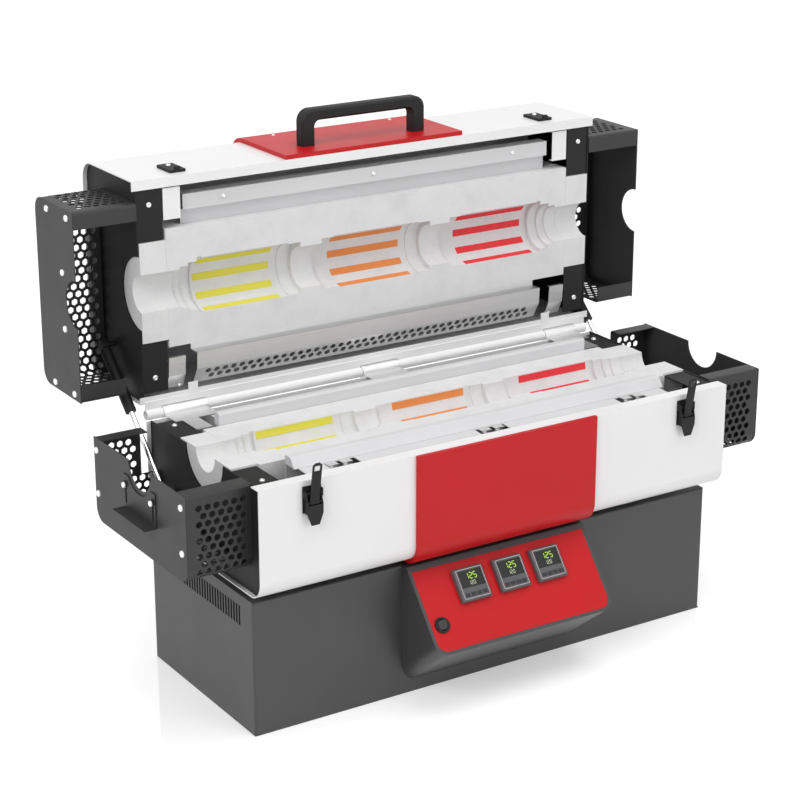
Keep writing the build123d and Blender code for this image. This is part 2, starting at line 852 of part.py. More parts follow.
def make_guard_plates(half):
    """Outer plates of the guards, notched round the process tube."""
    plane = halves[half]
    with BuildPart() as plates:
        for side in (-1, 1):
            with BuildSketch(plane.offset(side * (guard_end - sheet))):
                add(guard_outline())
                Circle(guard_notch_radius, mode=Mode.SUBTRACT)
            extrude(amount=side * sheet)
            if half == "lower":
                stud_drop = support_slot_drop - support_slot_length + support_slot_width / 2
                with BuildSketch(plane.offset(side * guard_end)):
                    with Locations((-support_centre, stud_drop)):
                        with GridLocations(2 * support_slot_reach, 1, 2, 1):
                            Circle(stud_radius)
                extrude(amount=side * (sheet + 2 * fit))
                with BuildSketch(plane.offset(side * (guard_end + sheet + 2 * fit))):
                    with Locations((-support_centre, stud_drop)):
                        with GridLocations(2 * support_slot_reach, 1, 2, 1):
                            RegularPolygon(stud_head_radius, 6)
                extrude(amount=side * stud_head_thickness)
    return plates.part


for half_name in halves:
    finish(make_guard_plates(half_name), f"{half_name}_guard_plates")
    finish(make_guards(half_name, (-1, 1)), f"{half_name}_guards")

for side_name, side in (("left", -1), ("right", 1)):
    with BuildPart() as support:
        plate_low = support_bottom_drop
        plate_high = support_top_drop
        with BuildSketch(lower_half.offset(side * (guard_end + fit))):
            middle = -support_centre
            add(span(middle - support_width / 2, middle + support_width / 2, plate_high, plate_low))
            with BuildLine():
                left = (middle - support_vee_width / 2, plate_high)
                right = (middle + support_vee_width / 2, plate_high)
                ThreePointArc(left, (middle, plate_high + support_vee_depth), right)
                Line(right, left)
            make_face(mode=Mode.SUBTRACT)
            slot_middle = support_slot_drop - support_slot_length / 2
            with Locations((middle, slot_middle)):
                with GridLocations(2 * support_slot_reach, 1, 2, 1):
                    SlotOverall(support_slot_length, support_slot_width, rotation=90, mode=Mode.SUBTRACT)
        extrude(amount=side * sheet)
        with BuildSketch(lower_half.offset(side * (guard_end + fit))):
            add(span(middle - support_width / 2, middle + support_width / 2, plate_low - sheet, plate_low))
        extrude(amount=side * support_ledge)
    finish(support.part, f"tube_support_{side_name}")

# Hinge tube with its plate on the lid, and the knuckles on the body
with BuildPart() as hinge_tube:
    with BuildSketch(Plane.YZ):
        with Locations((hinge_y, parting_z)):
            Circle(hinge_tube_radius)
            Circle(hinge_tube_radius - hinge_tube_wall, mode=Mode.SUBTRACT)
    extrude(amount=hinge_half_length, both=True)
    with BuildSketch(Plane.XZ.offset(-hinge_y + hinge_plate_front)):
        plate_low = hinge_tube_radius - hinge_plate_sink
        with Locations((0, parting_z + (hinge_plate_top + plate_low) / 2)):
            Rectangle(2 * hinge_half_length, hinge_plate_top - plate_low)
        with Locations((0, parting_z + (hinge_plate_top + hinge_tab_top) / 2)):
            with GridLocations(2 * (hinge_half_length - hinge_tab_inset), 1, 2, 1):
                Rectangle(hinge_tab_width, hinge_tab_top - hinge_plate_top + sheet)
        clear_radius = hinge_tube_radius + knuckle_ring + knuckle_gap
        for name, centre in knuckle_centres.items():
            with Locations((centre, parting_z)):
                width = knuckle_lengths[name] + 2 * knuckle_gap
                Rectangle(width, 2 * clear_radius, mode=Mode.SUBTRACT)
    extrude(amount=-hinge_plate_front - parting_gap)
finish(hinge_tube.part, "hinge_tube")

with BuildPart() as hinge_knuckles:
    ring_radius = hinge_tube_radius + knuckle_ring
    leaf_top = parting_z - sheet + fit
    leaf_thickness = rear_edge_drop - sheet - fit / 2
    leg_depth = hinge_standoff - fit
    for name, centre in knuckle_centres.items():
        with BuildSketch(Plane.YZ.offset(centre - knuckle_lengths[name] / 2)):
            with Locations((hinge_y, parting_z)):
                Circle(ring_radius)
            with Locations((body_rear_y + fit, leaf_top)):
                Rectangle(leg_depth, leg_height, align=(Align.MIN, Align.MAX))
            with Locations((hinge_y, leaf_top)):
                Rectangle(leaf_reach + hinge_standoff, leaf_thickness, align=Align.MAX)
            with Locations((hinge_y, parting_z)):
                Circle(hinge_tube_radius + hinge_play, mode=Mode.SUBTRACT)
        extrude(amount=knuckle_lengths[name])
    with BuildSketch(Plane.XY.offset(leaf_top)):
        with Locations((0, body_rear_y - strap_leaf_reach / 2)):
            with GridLocations(body_length - 2 * strap_leaf_inset, 1, 2, 1):
                Rectangle(strap_leaf_width, strap_leaf_reach)
    extrude(amount=-leaf_thickness)
finish(hinge_knuckles.part, "hinge_knuckles")

# Gas struts
lid_pivot = lid_half.from_local_coords((*strut_pivots["lid"], 0))
body_pivot = lower_half.from_local_coords((*strut_pivots["lower"], 0))
strut_run = Vector(body_pivot) - Vector(lid_pivot)
strut_open_length = strut_run.length
strut_direction = strut_run.normalized()
for side_name, side in (("left", -1), ("right", 1)):
    pivot = Vector(side * strut_x, lid_pivot.Y, lid_pivot.Z)
    foot = Vector(side * strut_x, body_pivot.Y, body_pivot.Z)
    barrel_axis = Plane(origin=pivot, x_dir=(1, 0, 0), z_dir=strut_direction)
    cross = Plane(origin=pivot - Vector(eye_thickness / 2, 0, 0), x_dir=strut_direction, z_dir=(1, 0, 0))
    with BuildPart() as barrel:
        with BuildSketch(barrel_axis.offset(eye_radius)):
            Circle(barrel_radius)
        extrude(amount=barrel_length - eye_radius)
        with BuildSketch(cross):
            Circle(eye_radius)
            with Locations((eye_radius, 0)):
                Rectangle(2 * eye_radius, eye_radius)
        extrude(amount=eye_thickness)
        with BuildSketch(barrel_axis.offset(barrel_length)):
            Circle(rod_radius + rod_play)
        extrude(amount=-(barrel_length - 2 * eye_radius - barrel_wall), mode=Mode.SUBTRACT)
        with BuildSketch(cross):
            Circle(strut_stud_radius + strut_play)
        extrude(amount=eye_thickness, mode=Mode.SUBTRACT)
    finish(barrel.part, f"strut_barrel_{side_name}")

    foot_cross = Plane(origin=foot - Vector(eye_thickness / 2, 0, 0), x_dir=strut_direction, z_dir=(1, 0, 0))
    rod_start = barrel_length - rod_hidden
    with BuildPart() as rod:
        with BuildSketch(barrel_axis.offset(rod_start)):
            Circle(rod_radius)
        extrude(amount=strut_open_length - rod_start - eye_radius / 2)
        with BuildSketch(foot_cross):
            Circle(eye_radius)
        extrude(amount=eye_thickness)
    finish(rod.part, f"strut_rod_{side_name}")

# Handle on the lid band
with BuildPart() as lid_handle:
    foot_z = lid_axis_z + body_reach + band_proud + fit / 2
    with BuildSketch(Plane.XZ.offset(-hinge_y - handle_place + handle_depth / 2)) as bow:
        with Locations((0, foot_z)):
            Rectangle(2 * handle_half_width, handle_rise, align=(Align.CENTER, Align.MIN))
        fillet(bow.vertices().group_by(Axis.Y)[-1], handle_bend)
        with BuildSketch(mode=Mode.SUBTRACT) as gap:
            with Locations((0, foot_z - handle_bar)):
                Rectangle(2 * (handle_half_width - handle_leg), handle_rise, align=(Align.CENTER, Align.MIN))
            fillet(gap.vertices().group_by(Axis.Y)[-1], handle_bend / 2)
    extrude(amount=-handle_depth)
    rims = lid_handle.faces().filter_by(Axis.Y).edges()
    chamfer(rims.filter_by(lambda edge: edge.center().Z > foot_z + handle_edge / 2), handle_edge)
finish(lid_handle.part, "lid_handle")


# Latches: fixed base, folding lever and strap, and the keeper on the lid
def front_offset(distance):
    """Y of a point at a distance in front of the body's front face."""
    return body_front_y - distance


with BuildPart() as latch_bases:
    for side in (-1, 1):
        with BuildSketch(Plane.XZ.offset(-front_offset(fit))):
            with Locations((side * latch_x, (latch_base_top + latch_base_bottom) / 2)):
                Rectangle(latch_base_width, latch_base_top - latch_base_bottom)
        extrude(amount=latch_plate)
        for ear in (-1, 1):
            ear_start = side * latch_x + ear * (latch_base_width / 2 - ear_thickness / 2) - ear_thickness / 2
            with BuildSketch(Plane.YZ.offset(ear_start)):
                with Locations((front_offset(fit), lever_pivot_z)):
                    Rectangle(ear_reach, ear_height, align=(Align.MAX, Align.CENTER))
            extrude(amount=ear_thickness)
        with BuildSketch(Plane.YZ.offset(side * latch_x)):
            with Locations((front_offset(lever_pivot_out), lever_pivot_z)):
                Circle(latch_pin_radius)
        extrude(amount=latch_base_width / 2, both=True)
finish(latch_bases.part, "latch_bases")

for side_name, side in (("left", -1), ("right", 1)):
    centre = side * latch_x
    cheek_outer = lever_width / 2
    lever_plate_top = parting_z - lever_plate_drop
    lever_tip_z = parting_z - lever_tip_drop
    lever_face = lever_out + latch_plate
    with BuildPart() as lever:
        with BuildSketch(Plane.XZ.offset(-front_offset(lever_out))):
            with BuildLine():
                Polyline(
                    (centre - lever_width / 2, lever_plate_top),
                    (centre + lever_width / 2, lever_plate_top),
                    (centre + lever_width / 2, latch_base_bottom),
                    (centre + lever_tip_width / 2, lever_tip_z),
                    (centre - lever_tip_width / 2, lever_tip_z),
                    (centre - lever_width / 2, latch_base_bottom),
                    close=True,
                )
            make_face()
        extrude(amount=latch_plate)
        for cheek in (-1, 1):
            cheek_start = centre + cheek * (cheek_outer - ear_thickness / 2) - ear_thickness / 2
            with BuildSketch(Plane.YZ.offset(cheek_start)):
                with BuildLine():
                    Polyline(
                        (front_offset(lever_face), latch_base_bottom),
                        (front_offset(lever_face), lever_plate_top),
                        (front_offset(lever_pivot_out + lever_eye_radius), lever_pivot_z),
                        (front_offset(lever_pivot_out - lever_eye_radius), lever_pivot_z),
                        (front_offset(lever_pivot_out - lever_eye_radius), latch_base_bottom),
                        close=True,
                    )
                make_face()
                with Locations((front_offset(lever_pivot_out), lever_pivot_z)):
                    Circle(lever_eye_radius)
                    Circle(latch_pin_radius + latch_play, mode=Mode.SUBTRACT)
            extrude(amount=ear_thickness)
        with BuildSketch(Plane.YZ.offset(centre)):
            with Locations((front_offset(strap_pivot_out), strap_pivot_z)):
                Circle(latch_pin_radius)
        extrude(amount=cheek_outer - ear_thickness / 2, both=True)
    finish(lever.part, f"latch_lever_{side_name}")

    lean = radians(strap_lean)
    strap_plane = Plane(
        origin=(centre, front_offset(strap_pivot_out), strap_pivot_z),
        x_dir=(1, 0, 0),
        z_dir=(0, -cos(lean), -sin(lean)),
    )
    with BuildPart() as strap:
        with BuildSketch(strap_plane.offset(-latch_plate / 2)):
            with BuildLine():
                Polyline(
                    (-strap_width / 2, 0),
                    (strap_width / 2, 0),
                    (strap_width / 2, strap_length - strap_width / 4),
                    (strap_width / 4, strap_length),
                    (-strap_width / 4, strap_length),
                    (-strap_width / 2, strap_length - strap_width / 4),
                    close=True,
                )
            make_face()
            with Locations((0, strap_length - strap_window_height)):
                Rectangle(strap_window_width, strap_window_height, mode=Mode.SUBTRACT)
        extrude(amount=latch_plate)
        with BuildSketch(Plane.YZ.offset(centre)):
            with Locations((front_offset(strap_pivot_out), strap_pivot_z)):
                Circle(latch_pin_radius + latch_play + strap_eye_wall)
        extrude(amount=strap_width / 2, both=True)
        with BuildSketch(Plane.YZ.offset(centre)):
            with Locations((front_offset(strap_pivot_out), strap_pivot_z)):
                Circle(latch_pin_radius + latch_play)
        extrude(amount=strap_width, both=True, mode=Mode.SUBTRACT)
    finish(strap.part, f"latch_strap_{side_name}")

with BuildPart() as latch_keepers:
    for side in (-1, 1):
        keeper_z = lid_axis_z + body_reach + fit
        with BuildSketch(Plane.XY.offset(keeper_z)):
            with Locations((side * latch_x, hinge_y + (keeper_near + keeper_far) / 2)):
                Rectangle(keeper_width, keeper_far - keeper_near)
        extrude(amount=keeper_thickness)
        with BuildSketch(Plane.XY.offset(keeper_z)):
            with Locations((side * latch_x, hinge_y + keeper_near + tooth_height / 2)):
                Rectangle(tooth_width, tooth_height)
        extrude(amount=keeper_thickness + tooth_reach)
finish(latch_keepers.part, "latch_keepers")
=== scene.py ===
"""Look of the three-zone split tube furnace.

Finishes of the frame's nodes, the ceramic chamber with its heating strips, the perforated and
folded sheets, rails, displays and small fittings, and the floor, light and camera.
"""

import json

import bmesh
import bpy
import numpy as np
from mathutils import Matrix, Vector


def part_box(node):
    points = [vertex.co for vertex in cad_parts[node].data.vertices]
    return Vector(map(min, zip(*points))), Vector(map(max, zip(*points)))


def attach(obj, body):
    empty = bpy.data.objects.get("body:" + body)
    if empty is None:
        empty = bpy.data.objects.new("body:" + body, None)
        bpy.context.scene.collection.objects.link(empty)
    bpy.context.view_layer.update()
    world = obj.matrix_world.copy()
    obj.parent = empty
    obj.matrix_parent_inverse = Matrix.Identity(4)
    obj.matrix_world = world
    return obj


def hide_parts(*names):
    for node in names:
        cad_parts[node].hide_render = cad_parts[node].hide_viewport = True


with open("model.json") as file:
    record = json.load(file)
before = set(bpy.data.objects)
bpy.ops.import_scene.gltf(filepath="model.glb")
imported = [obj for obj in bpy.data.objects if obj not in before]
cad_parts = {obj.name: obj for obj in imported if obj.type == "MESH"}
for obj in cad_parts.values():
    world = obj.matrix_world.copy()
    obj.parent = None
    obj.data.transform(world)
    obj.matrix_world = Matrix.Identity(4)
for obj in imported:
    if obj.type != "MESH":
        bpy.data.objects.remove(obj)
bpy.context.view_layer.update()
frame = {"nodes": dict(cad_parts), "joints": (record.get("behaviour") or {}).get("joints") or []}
nodes = frame["nodes"]

# Where the camera stands, in metres, which way it looks, and its lens in pixels of its frame
camera_place = (-1.6562, -2.4911, 1.4154)
camera_azimuth = np.radians(-32.639)
camera_elevation = np.radians(19.322)
lens_pixels = 2196.669
frame_pixels = 800
sensor_width = 36.0

# The hinge line lies on the parting face; the lid's tube axis stands as far from it as the lower one
hinge_joint = next(joint for joint in frame["joints"] if joint["name"] == "lid_hinge")
_, hinge_y, parting_z = hinge_joint["pos_m"]
tube_y = -0.0195
lid_axis_z = parting_z + hinge_y - tube_y
body_reach = 0.161
body_of_half = {"lower": "furnace_base", "lid": "furnace_lid"}

# Slack when edges are compared, and the least that a length is divided by
touch = 1e-6
least = 1e-9


def half_point(half, along, forward, depth):
    """Row-frame point of section coordinates: forward from the tube axis, depth into the half."""
    along, forward, depth = np.broadcast_arrays(np.asarray(along, float), forward, depth)
    if half == "lower":
        return np.stack([along, tube_y - forward, parting_z - depth], axis=-1)
    return np.stack([along, hinge_y + depth, lid_axis_z + forward], axis=-1)


def section_box(half, node):
    """Box of a node in section coordinates: rearmost, foremost, nearest and deepest."""
    low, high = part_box(node)
    if half == "lower":
        return tube_y - high.y, tube_y - low.y, parting_z - high.z, parting_z - low.z
    return low.z - lid_axis_z, high.z - lid_axis_z, low.y - hinge_y, high.y - hinge_y


def add_camera():
    """Camera at its place; its back vector is given by azimuth and elevation."""
    data = bpy.data.cameras.new("camera")
    data.sensor_width = sensor_width
    data.lens = lens_pixels / frame_pixels * sensor_width
    data.clip_end = 50
    camera = bpy.data.objects.new("camera", data)
    bpy.context.collection.objects.link(camera)
    camera.location = camera_place
    back = Vector(
        (
            np.sin(camera_azimuth) * np.cos(camera_elevation),
            -np.cos(camera_azimuth) * np.cos(camera_elevation),
            np.sin(camera_elevation),
        )
    )
    camera.rotation_euler = (-back).to_track_quat("-Z", "Y").to_euler()
    bpy.context.scene.camera = camera


add_camera()


# Small node helpers
def new_material(name):
    """Empty node material with its Principled shader and Object coordinates."""
    material = bpy.data.materials.new(name)
    material.use_nodes = True
    tree = material.node_tree
    shader = tree.nodes["Principled BSDF"]
    where = tree.nodes.new("ShaderNodeTexCoord")
    return material, tree, shader, where.outputs["Object"]


def noise(tree, where, scale, detail=3.0, roughness=0.5):
    """Noise of a scale, as features per metre."""
    node = tree.nodes.new("ShaderNodeTexNoise")
    node.inputs["Scale"].default_value = scale
    node.inputs["Detail"].default_value = detail
    node.inputs["Roughness"].default_value = roughness
    tree.links.new(where, node.inputs["Vector"])
    return node.outputs["Fac"]


def ramp(tree, value, stops, constant=False):
    """Colour ramp through (position, colour) stops."""
    node = tree.nodes.new("ShaderNodeValToRGB")
    if constant:
        node.color_ramp.interpolation = "CONSTANT"
    elements = node.color_ramp.elements
    while len(elements) < len(stops):
        elements.new(1.0)
    for element, (position, colour) in zip(elements, stops):
        element.position = position
        element.color = (*colour, 1.0)
    tree.links.new(value, node.inputs["Fac"])
    return node.outputs["Color"]


def ranged(tree, value, low, high):
    """Value from 0 to 1 carried to a range."""
    node = tree.nodes.new("ShaderNodeMapRange")
    node.inputs["To Min"].default_value = low
    node.inputs["To Max"].default_value = high
    tree.links.new(value, node.inputs["Value"])
    return node.outputs["Result"]


def larger(tree, first, second):
    """Larger of two values."""
    node = tree.nodes.new("ShaderNodeMath")
    node.operation = "MAXIMUM"
    tree.links.new(first, node.inputs[0])
    tree.links.new(second, node.inputs[1])
    return node.outputs["Value"]


def bump(tree, shader, height, distance, strength=1.0):
    """Relief of a height map, with its depth in metres."""
    node = tree.nodes.new("ShaderNodeBump")
    node.inputs["Distance"].default_value = distance
    node.inputs["Strength"].default_value = strength
    tree.links.new(height, node.inputs["Height"])
    tree.links.new(node.outputs["Normal"], shader.inputs["Normal"])


def shade(colour, factor):
    """Colour made lighter or darker."""
    return tuple(min(1.0, channel * factor) for channel in colour)


def powder_coat(name, colour, gloss=0.42, spread=0.06, grain=900.0, sheen=0.5):
    """Powder coat: fine orange peel, a faint cloud in the colour and a slightly uneven gloss."""
    material, tree, shader, where = new_material(name)
    cloud = noise(tree, where, scale=6.0, detail=4.0)
    stops = [(0.3, shade(colour, 1 - spread)), (0.7, shade(colour, 1 + spread))]
    tree.links.new(ramp(tree, cloud, stops), shader.inputs["Base Color"])
    patches = noise(tree, where, scale=22.0, detail=5.0)
    tree.links.new(ranged(tree, patches, gloss - 0.05, gloss + 0.07), shader.inputs["Roughness"])
    shader.inputs["Specular IOR Level"].default_value = sheen
    bump(tree, shader, noise(tree, where, scale=grain, detail=2.0), distance=0.00004)
    return material


def moulded_plastic(name, colour, gloss=0.5):
    """Moulded plastic with a fine spark-eroded texture."""
    material, tree, shader, where = new_material(name)
    cloud = noise(tree, where, scale=15.0)
    stops = [(0.3, shade(colour, 0.92)), (0.7, shade(colour, 1.08))]
    tree.links.new(ramp(tree, cloud, stops), shader.inputs["Base Color"])
    patches = noise(tree, where, scale=60.0)
    tree.links.new(ranged(tree, patches, gloss - 0.06, gloss + 0.08), shader.inputs["Roughness"])
    shader.inputs["Specular IOR Level"].default_value = 0.3
    bump(tree, shader, noise(tree, where, scale=2500.0, detail=2.0), distance=0.00002)
    return material


def brushed_metal(name, colour, along=(1.0, 60.0, 60.0), gloss=0.35):
    """Sheet metal with a drawn grain that is long in one direction."""
    material, tree, shader, where = new_material(name)
    stretch = tree.nodes.new("ShaderNodeMapping")
    stretch.inputs["Scale"].default_value = along
    tree.links.new(where, stretch.inputs["Vector"])
    grain = noise(tree, stretch.outputs["Vector"], scale=30.0, detail=4.0, roughness=0.6)
    stops = [(0.25, shade(colour, 0.88)), (0.75, shade(colour, 1.06))]
    tree.links.new(ramp(tree, grain, stops), shader.inputs["Base Color"])
    tree.links.new(ranged(tree, grain, gloss - 0.08, gloss + 0.1), shader.inputs["Roughness"])
    shader.inputs["Metallic"].default_value = 1.0
    bump(tree, shader, grain, distance=0.00002)
    return material


def fibre_board(name, colour):
    """Vacuum-formed fibre insulation: soft mottling, small pits and a matt, chalky surface."""
    material, tree, shader, where = new_material(name)
    mottle = noise(tree, where, scale=28.0, detail=6.0, roughness=0.62)
    stops = [(0.30, shade(colour, 0.93)), (0.5, colour), (0.72, shade(colour, 1.04))]
    tree.links.new(ramp(tree, mottle, stops), shader.inputs["Base Color"])
    shader.inputs["Roughness"].default_value = 0.85
    shader.inputs["Specular IOR Level"].default_value = 0.25
    fibres = noise(tree, where, scale=260.0, detail=5.0, roughness=0.7)
    bump(tree, shader, fibres, distance=0.0003, strength=0.6)
    return material


def zoned_oxide(name):
    """Heating strips coloured by heated zone: yellow, orange and red from left to right."""
    material, tree, shader, where = new_material(name)
    split = tree.nodes.new("ShaderNodeSeparateXYZ")
    tree.links.new(where, split.inputs["Vector"])
    along = tree.nodes.new("ShaderNodeMapRange")
    along.inputs["From Min"].default_value = -0.3
    along.inputs["From Max"].default_value = 0.3
    tree.links.new(split.outputs["X"], along.inputs["Value"])
    yellow, orange, red = (0.72, 0.66, 0.07), (0.75, 0.25, 0.06), (0.75, 0.03, 0.04)
    stops = [(0.0, yellow), (0.33, orange), (0.67, red)]
    colours = ramp(tree, along.outputs["Result"], stops, constant=True)
    tree.links.new(colours, shader.inputs["Base Color"])
    patches = noise(tree, where, scale=120.0)
    tree.links.new(ranged(tree, patches, 0.55, 0.75), shader.inputs["Roughness"])
    bump(tree, shader, noise(tree, where, scale=700.0), distance=0.00008)
    return material


def dark_glass(name):
    """Display window: near-black, glossy, with faint dust in the gloss."""
    material, tree, shader, where = new_material(name)
    stops = [(0.3, (0.006, 0.008, 0.006)), (0.8, (0.012, 0.014, 0.012))]
    tree.links.new(ramp(tree, noise(tree, where, scale=30.0), stops), shader.inputs["Base Color"])
    dust = noise(tree, where, scale=90.0)
    tree.links.new(ranged(tree, dust, 0.06, 0.16), shader.inputs["Roughness"])
    return material


def glowing(name, colour, strength):
    """Lit segments of a display."""
    material, tree, shader, where = new_material(name)
    stops = [(0.2, shade(colour, 0.9)), (0.8, colour)]
    flicker = noise(tree, where, scale=400.0)
    tree.links.new(ramp(tree, flicker, stops), shader.inputs["Emission Color"])
    shader.inputs["Base Color"].default_value = (*shade(colour, 0.3), 1.0)
    shader.inputs["Emission Strength"].default_value = strength
    return material


graphite = powder_coat("graphite_coat", (0.046, 0.046, 0.048), gloss=0.42)
charcoal = powder_coat("charcoal_coat", (0.026, 0.026, 0.027), gloss=0.48, sheen=0.4)
white_coat = powder_coat("white_coat", (0.80, 0.80, 0.80), gloss=0.34, spread=0.015, grain=700.0)
red_coat = powder_coat(
    "red_coat", (0.50, 0.004, 0.007), gloss=0.40, spread=0.04, grain=700.0, sheen=0.3
)
black_coat = powder_coat("black_coat", (0.008, 0.008, 0.008), gloss=0.58, sheen=0.3)
black_plastic = moulded_plastic("black_plastic", (0.006, 0.006, 0.006), gloss=0.55)
grey_plastic = moulded_plastic("grey_plastic", (0.10, 0.10, 0.105), gloss=0.45)
button_plastic = moulded_plastic("button_plastic", (0.035, 0.035, 0.037), gloss=0.4)
liner_steel = powder_coat("liner_sheet", (0.62, 0.62, 0.63), gloss=0.5, spread=0.03)
vent_steel = brushed_metal("vent_steel", (0.72, 0.72, 0.72), gloss=0.42)
bright_steel = brushed_metal("bright_steel", (0.78, 0.78, 0.78), gloss=0.28)
pale_screw = brushed_metal("pale_screw", (0.92, 0.92, 0.92), gloss=0.5)
rod_chrome = brushed_metal("rod_chrome", (0.7, 0.7, 0.7), along=(40.0, 1.0, 1.0), gloss=0.18)
insulation = fibre_board("fibre_board", (0.69, 0.69, 0.695))
end_insulation = fibre_board("end_board", (0.70, 0.70, 0.70))
strip_oxide = zoned_oxide("strip_oxide")
window_glass = dark_glass("window_glass")
digit_green = glowing("digit_green", (0.55, 0.95, 0.10), strength=0.9)
digit_pale = glowing("digit_pale", (0.75, 0.85, 0.55), strength=0.8)
line_print = moulded_plastic("line_print", (0.55, 0.55, 0.56), gloss=0.5)

finishes = {
    "base_cabinet": graphite,
    "base_floor": graphite,
    "base_back_panel": graphite,
    "body_rails": charcoal,
    "mains_inlet": black_plastic,
    "console_housing": graphite,
    "console_panel": red_coat,
    "controller_windows": window_glass,
    "switch_bezel": black_plastic,
    "switch_rocker": button_plastic,
    "hinge_knuckles": vent_steel,
    "hinge_tube": white_coat,
    "latch_bases": black_coat,
    "latch_keepers": black_coat,
    "lid_handle": black_plastic,
    "thermocouples": end_insulation,
}
for half in body_of_half:
    finishes[f"{half}_casing"] = white_coat
    finishes[f"{half}_band"] = red_coat
    finishes[f"{half}_end_plates"] = black_coat
    finishes[f"{half}_insulation"] = insulation
    finishes[f"{half}_end_blocks"] = end_insulation
    finishes[f"{half}_elements"] = strip_oxide
    finishes[f"{half}_liners"] = liner_steel
    finishes[f"{half}_guards"] = charcoal
    finishes[f"{half}_guard_plates"] = charcoal
for side in ("left", "right"):
    finishes[f"latch_lever_{side}"] = black_coat
    finishes[f"latch_strap_{side}"] = black_coat
    finishes[f"strut_barrel_{side}"] = black_coat
    finishes[f"strut_rod_{side}"] = rod_chrome
    finishes[f"tube_support_{side}"] = charcoal
for place in ("left", "middle", "right"):
    finishes[f"controller_{place}"] = grey_plastic
    for index in range(1, 5):
        finishes[f"button_{place}_{index}"] = button_plastic

for name, node in nodes.items():
    node.data.materials.clear()
    node.data.materials.append(finishes[name])


# Pieces worked out as surfaces
def add_piece(name, mesh, material, body):
    """Object of a mesh in one finish, riding on its body."""
    piece = bpy.data.objects.new(name, mesh)
    bpy.context.collection.objects.link(piece)
    mesh.materials.append(material)
    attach(piece, body)
    return piece


def grid_mesh(name, points, material, body, closed=False, smooth=True):
    """Mesh of separate grids, from points as (grids, rows, columns, 3).

    closed joins the last column of a grid to its first.
    """
    grids, rows, columns, _ = points.shape
    index = np.arange(grids * rows * columns).reshape(grids, rows, columns)
    here = index[:, :-1, :]
    above = index[:, 1:, :]
    if closed:
        corners = [here, np.roll(here, -1, axis=2), np.roll(above, -1, axis=2), above]
    else:
        corners = [here[:, :, :-1], here[:, :, 1:], above[:, :, 1:], above[:, :, :-1]]
    faces = np.stack(corners, axis=-1).reshape(-1, 4)
    mesh = bpy.data.meshes.new(name)
    mesh.from_pydata(points.reshape(-1, 3).tolist(), [], faces.tolist())
    mesh.polygons.foreach_set("use_smooth", np.full(len(mesh.polygons), smooth))
    mesh.validate()
    mesh.update()
    return add_piece(name, mesh, material, body)


def joined_mesh(name, quads, material, body, reach, flip=False, outwards=False):
    """Mesh of quads, given as rows of four points, in which points nearer than the reach become one."""
    index = np.arange(quads.shape[0] * 4).reshape(-1, 4)
    if flip:
        index = index[:, ::-1]
    mesh = bpy.data.meshes.new(name)
    mesh.from_pydata(quads.reshape(-1, 3).tolist(), [], index.tolist())
    shell = bmesh.new()
    shell.from_mesh(mesh)
    bmesh.ops.remove_doubles(shell, verts=shell.verts, dist=reach)
    if outwards:
        bmesh.ops.recalc_face_normals(shell, faces=shell.faces)
    shell.to_mesh(mesh)
    shell.free()
    return add_piece(name, mesh, material, body)


def axes_from(normal):
    """Two directions square to each normal, as rows."""
    normal = np.asarray(normal, float)
    normal = normal / np.linalg.norm(normal, axis=-1, keepdims=True)
    helper = np.where(np.abs(normal[..., 2:3]) > 0.9, [1.0, 0.0, 0.0], [0.0, 0.0, 1.0])
    first = np.cross(helper, normal)
    first = first / np.linalg.norm(first, axis=-1, keepdims=True)
    return first, np.cross(normal, first), normal


# Pan head: radii and heights of its profile for a head radius of 1, from the rim to the recess
pan_radii = np.array([1.0, 1.0, 0.9, 0.66, 0.42, 0.36, 0.02])
pan_heights = np.array([-0.1, 0.28, 0.5, 0.62, 0.64, 0.3, 0.26])


def pan_heads(name, places, normals, head, material, body, around=20):
    """Pan-head screws with a small round recess, of a head radius in metres.

    A point is place + r (cos t first + sin t second) + h normal, with r and h from the profile.
    """
    places = np.asarray(places, float)
    first, second, normal = axes_from(np.broadcast_to(normals, places.shape))
    angle = np.linspace(0, 2 * np.pi, around, endpoint=False)
    radius = (pan_radii * head)[:, None]
    ring = first[:, None, None, :] * (radius * np.cos(angle))[None, :, :, None]
    ring = ring + second[:, None, None, :] * (radius * np.sin(angle))[None, :, :, None]
    rise = normal[:, None, None, :] * (pan_heights * head)[None, :, None, None]
    points = places[:, None, None, :] + ring + rise
    return grid_mesh(name, points, material, body, closed=True)


# Console plane, as in the frame: its origin, across, up the slope and outwards
console_tilt = np.radians(38.6)
console_origin = np.array([0.0, -0.162, 0.191])
across = np.array([1.0, 0.0, 0.0])
upslope = np.array([0.0, np.sin(console_tilt), np.cos(console_tilt)])
outward = np.array([0.0, -np.cos(console_tilt), np.sin(console_tilt)])


def on_console(x, y, z):
    """Point of the sloping panel: x across, y up the slope and z off its face, in metres."""
    x, y, z = np.broadcast_arrays(np.asarray(x, float), y, z)
    return console_origin + x[..., None] * across + y[..., None] * upslope + z[..., None] * outward


# Controllers: middles across and up the slope, and how far their fronts and windows stand off
controller_x = {
    place: sum(corner.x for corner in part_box(f"controller_{place}")) / 2
    for place in ("left", "middle", "right")
}
controller_slope = -0.0375
controller_rise = 0.009
window_sink = 0.0012
print_lift = 0.00012
window_z = controller_rise - window_sink + print_lift
front_z = controller_rise + print_lift
frame_half, frame_line = 0.0213, 0.0007

# Seven-segment figures: the ends of each segment on a unit figure, and which are lit
segments = {
    "a": ((0, 2), (1, 2)),
    "b": ((1, 2), (1, 1)),
    "c": ((1, 1), (1, 0)),
    "d": ((0, 0), (1, 0)),
    "e": ((0, 1), (0, 0)),
    "f": ((0, 2), (0, 1)),
    "g": ((0, 1), (1, 1)),
}
lit = {"0": "abcdef", "1": "bc", "2": "abged", "5": "afgcd"}

